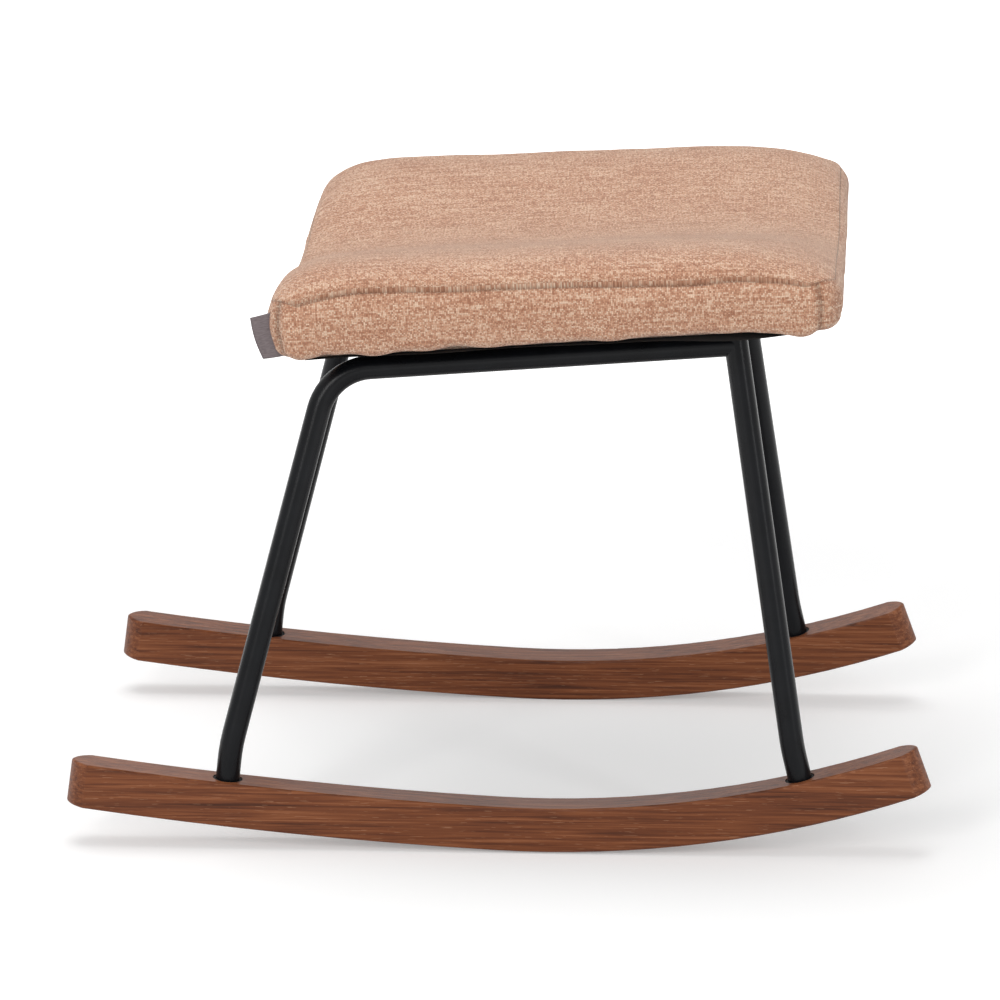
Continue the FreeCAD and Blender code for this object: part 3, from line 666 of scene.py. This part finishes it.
def ribbon_tab():
    """A bare folded ribbon caught in the near left corner seam, bowed a little."""
    thickness = 0.0013
    root_top = Vector((-176, -175, 33.6))
    root_low = Vector((-172, -175, 3.2))
    tip_top = Vector((-197, -178, 29.6))
    tip_low = Vector((-190.8, -179, 2))
    bow_out = 1.6
    tip_bow_out = 0.8
    tip_bow_along = 1.2

    def place(u, v):
        point = root_top.lerp(root_low, v).lerp(tip_top.lerp(tip_low, v), u)
        tip_bow = math.sin(math.pi * v) * u
        point.y -= bow_out * math.sin(math.pi * u) + tip_bow_out * tip_bow
        point.x -= tip_bow_along * tip_bow
        return SEAT @ (point * MM)

    return thickened(grid_sheet("ribbon_tab", 16, 24, place, ribbon_weave()), thickness)


def dust_cloth():
    """Black lining stapled under the seat. Its near edge hangs down a little on the right."""
    half_x = 164
    half_y = 178
    gap = 0.9
    staple_wave = 0.4
    staple_spacing = 17
    hem = 0.08
    loose_x = 112
    loose_width = 42
    loose_drop = 3.2

    def place(u, v):
        x = (2 * u - 1) * half_x
        y = (2 * v - 1) * half_y
        edge = max(abs(x) / half_x, abs(y) / half_y)
        sag = gap
        if edge > 0.9:
            sag += staple_wave * math.sin(x / staple_spacing)
        if y < 0 and edge > 1 - hem:
            sag += loose_drop * bell(x - loose_x, loose_width) * (edge - (1 - hem)) / hem
        return SEAT @ (Vector((x, y, -sag)) * MM)

    cloth = grid_sheet("dust_cloth", 90, 90, place, lining())
    return cloth, (2 * half_x * MM, 2 * half_y * MM)


def foot_axes():
    """Where each tube enters its rocker, from the threaded inserts inside the tubes."""
    points = np.array([v.co for v in frame["nodes"]["foot_inserts"].data.vertices])
    signs = np.sign(points[:, :2])
    axes = []
    for side in ((-1, -1), (-1, 1), (1, -1), (1, 1)):
        group = points[(signs == side).all(1)]
        centre = group.mean(0)
        spread = np.linalg.eigh(np.cov((group - centre).T))[1]
        axis = Vector(spread[:, 2])
        if axis.z < 0:
            axis.negate()
        axes.append((Vector(centre), axis))
    return axes


def foot_gap_shade_rings():
    """Near-black rings set in the gap round each tube, a little under the wood's face: painted shade
    standing in for the shadow down in the gap.
    """
    inner = 0.0079
    outer = 0.00995
    depth = 0.0016
    crown = 0.0002
    above_insert = 0.0014
    sides = 48
    section = [(inner, -depth), (outer, -depth), (outer, 0), ((inner + outer) / 2, crown), (inner, 0)]
    vertices = []
    faces = []
    for centre, axis in foot_axes():
        turn = axis.to_track_quat("Z", "Y").to_matrix().to_4x4()
        base = Matrix.Translation(centre + axis * above_insert) @ turn
        first = len(vertices)
        for radius, z in section:
            for step in range(sides):
                angle = 2 * math.pi * step / sides
                vertices.append(base @ Vector((radius * math.cos(angle), radius * math.sin(angle), z)))
        for row in range(len(section)):
            here = first + row * sides
            there = first + (row + 1) % len(section) * sides
            for step in range(sides):
                onward = (step + 1) % sides
                faces.append((here + step, here + onward, there + onward, there + step))
    return linked("foot_gap_shade_rings", vertices, faces, gap_shade_black(), smooth=False)


def seen_rays(tree):
    """Light Path factor that is 1 for camera, glossy and transmission rays."""
    path = tree.nodes.new("ShaderNodeLightPath")
    value = path.outputs["Is Camera Ray"]
    for name in ("Is Glossy Ray", "Is Transmission Ray"):
        larger = tree.nodes.new("ShaderNodeMath")
        larger.operation = "MAXIMUM"
        tree.links.new(value, larger.inputs[0])
        tree.links.new(path.outputs[name], larger.inputs[1])
        value = larger.outputs[0]
    return value


def studio_world():
    """A plain pale sky that shows white."""
    lighting_level = 0.5
    shown_level = 1.0
    world = bpy.data.worlds.new("studio")
    bpy.context.scene.world = world
    world.use_nodes = True
    tree = world.node_tree
    background = tree.nodes["Background"]
    background.inputs["Color"].default_value = (1, 1, 1, 1)
    level = tree.nodes.new("ShaderNodeMapRange")
    level.inputs["To Min"].default_value = lighting_level
    level.inputs["To Max"].default_value = shown_level
    tree.links.new(seen_rays(tree), level.inputs["Value"])
    tree.links.new(level.outputs[0], background.inputs["Strength"])


def white_floor():
    """White that keeps the shadow near the stool and shows plain white further off."""
    shadow_radius = 0.42
    plain_radius = 1.1
    shadow_glow = 0.27
    plain_glow = 1.0
    g = Graph("floor", Roughness=0.9, Specular_IOR_Level=0.0)
    g.shader.inputs["Base Color"].default_value = (0.8, 0.8, 0.8, 1)
    g.shader.inputs["Emission Color"].default_value = (1, 1, 1, 1)
    radius = g.node("VectorMath", operation="LENGTH")
    g.feed(radius.inputs[0], g.coordinates("Object", (1, 0.7, 1)))
    glow = g.node("MapRange", interpolation_type="SMOOTHSTEP")
    g.feed(glow.inputs["Value"], radius.outputs["Value"])
    glow.inputs["From Min"].default_value = shadow_radius
    glow.inputs["From Max"].default_value = plain_radius
    glow.inputs["To Min"].default_value = shadow_glow
    glow.inputs["To Max"].default_value = plain_glow
    g.feed(g.shader.inputs["Emission Strength"], g.maths("MULTIPLY", seen_rays(g.tree), glow.outputs[0]))
    return g.material


def studio_floor():
    reach = 8
    corners = [(-reach, -reach, 0), (reach, -reach, 0), (reach, reach, 0), (-reach, reach, 0)]
    floor = linked("floor", corners, [(0, 1, 2, 3)], white_floor(), smooth=False)
    floor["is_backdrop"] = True


def lamp(name, spot, size, power, colour=WHITE):
    """A soft box that faces the middle of the stool."""
    target = Vector((0, 0, 0.25))
    data = bpy.data.lights.new(name, "AREA")
    data.shape = "RECTANGLE"
    data.size, data.size_y = size
    data.energy = power
    data.color = colour
    light = bpy.data.objects.new(name, data)
    light.location = spot
    light.rotation_euler = (target - Vector(spot)).to_track_quat("-Z", "Y").to_euler()
    bpy.context.scene.collection.objects.link(light)


def studio_lamps():
    lamp("overhead", spot=(-0.2, 0.2, 2.4), size=(1.5, 1.5), power=24)
    lamp("front_left", spot=(-1.2, -2.5, 1.5), size=(0.7, 1.5), power=30, colour=(1, 0.99, 0.98))
    lamp("front_right", spot=(1.9, -1.9, 1.2), size=(0.4, 1.6), power=14, colour=(0.97, 0.985, 1))


def dress_seat():
    """Puts the sewn cover, the tab and the lining in place of their plain solids."""
    cover = cushion_cover()
    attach(cover, "root")
    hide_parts("top_panel", "near_band", "far_band", "left_band", "right_band", "foam_pad")

    tab = ribbon_tab()
    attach(tab, "root")
    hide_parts("label_tab")

    cloth, flat = dust_cloth()
    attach(cloth, "root")
    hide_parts("dust_cover")


def dress_feet():
    # Painted shade in the gaps where the tubes enter the rockers.
    gap_shade_rings = foot_gap_shade_rings()
    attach(gap_shade_rings, "root")


def write_sizes():
    for name, box in (("cad", CAD_BOX), ("visual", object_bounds())):
        [[float(v) for v in corner] for corner in box]


bpy.context.scene.view_settings.view_transform = "Standard"
scene_camera()
studio_world()
studio_floor()
studio_lamps()
dress_frame()
dress_seat()
dress_feet()
write_sizes()
